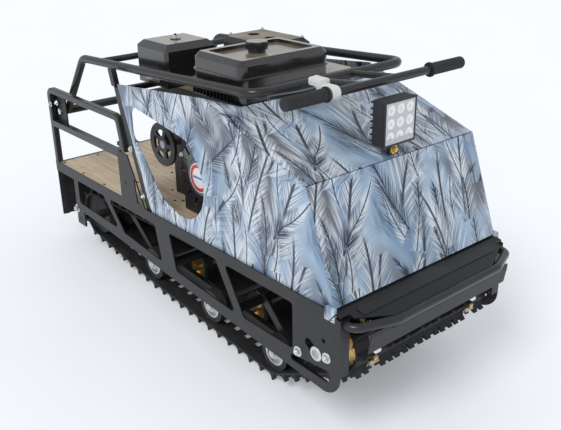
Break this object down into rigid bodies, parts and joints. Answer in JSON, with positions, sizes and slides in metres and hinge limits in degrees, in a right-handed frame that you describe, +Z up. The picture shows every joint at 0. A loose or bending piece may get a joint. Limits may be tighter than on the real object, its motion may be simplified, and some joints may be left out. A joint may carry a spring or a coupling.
{
  "type": "tracked snow tug",
  "caption": "Walk-behind tracked snow tug: wedge hood over the engine, truss side frames, railed cargo deck, one wide rubber track and a hinged steering loop.",
  "frame": {"origin": "on the floor under the middle of the whole part's length and width", "axes": "+X forward, +Y to the driver's left, +Z up; the track's lower run stands flat on the floor and the chassis is raked 4 degrees nose up"},
  "size_m": [1.5742, 0.62, 0.8679],
  "materials": {
    "frame_paint": "black powder coat, satin",
    "tube_paint": "black powder coat, satin",
    "plywood": "laminated birch deck, satin",
    "zinc": "zinc plated",
    "gold_zinc": "yellow zinc plated",
    "steel_shaft": "turned steel",
    "track_rubber": "moulded rubber",
    "tyre_rubber": "solid rubber tyre",
    "flap_rubber": "ribbed rubber",
    "hood_paint": "winter camouflage film, satin",
    "engine_paint": "black enamel",
    "engine_plastic": "glossy black",
    "lamp_body": "black die casting",
    "lamp_glass": "clear ribbed lens over a bright reflector",
    "grip_rubber": "grooved grip",
    "perch_plastic": "pale clamp",
    "lever_paint": "black"
  },
  "bodies": {
    "chassis": {"side_frame_right": "frame_paint", "side_frame_left": "frame_paint", "rear_beam": "frame_paint", "deck_board": "plywood", "deck_cross_members": "frame_paint", "frame_cross_tubes": "frame_paint", "front_step": "frame_paint", "front_guard": "frame_paint", "bumper_tube": "tube_paint", "cargo_rail_right": "tube_paint", "cargo_rail_left": "tube_paint", "hinge_brackets": "frame_paint", "hinge_pins": "zinc", "hood_side_right": "hood_paint", "hood_side_left": "hood_paint", "hood_front": "hood_paint", "hood_top_front": "hood_paint", "hood_posts": "frame_paint", "hood_rear_hoop": "frame_paint", "engine_block": "engine_paint", "engine_shroud": "engine_plastic", "recoil_starter": "engine_plastic", "fuel_tank": "engine_plastic", "tank_cap": "engine_plastic", "air_filter": "engine_plastic", "muffler_guard": "engine_paint", "drive_pulley": "steel_shaft", "driven_pulley": "steel_shaft", "cross_shaft": "steel_shaft", "drive_belt": "flap_rubber", "brake_disc": "lever_paint", "shaft_stands": "frame_paint", "gearbox": "engine_paint", "gear_lever": "lever_paint", "work_lamp": "lamp_body", "lamp_lens": "lamp_glass", "lamp_bracket": "lamp_body", "track": "track_rubber", "drive_sprockets": "gold_zinc", "rear_idlers": "tyre_rubber", "wheel_axles": "steel_shaft", "road_wheels": "zinc", "wheel_tyres": "tyre_rubber", "inner_wheels": "gold_zinc", "inner_tyres": "tyre_rubber", "suspension_beams": "frame_paint", "swing_arms": "frame_paint", "rear_axle_brackets": "frame_paint", "mudflap": "flap_rubber", "tow_hitch": "frame_paint"},
    "steering": {"steering_loop": "tube_paint", "handlebar": "tube_paint", "handlebar_grips": "grip_rubber", "brake_lever_perch": "perch_plastic", "brake_lever": "lever_paint"}
  },
  "joints": [
    {"name": "steering_hinge", "type": "hinge", "parent": "chassis", "child": "steering", "pos_m": [-0.67702, 0, 0.48383], "axis": [0, -1, 0], "range_deg": [0, 150]}
  ]
}
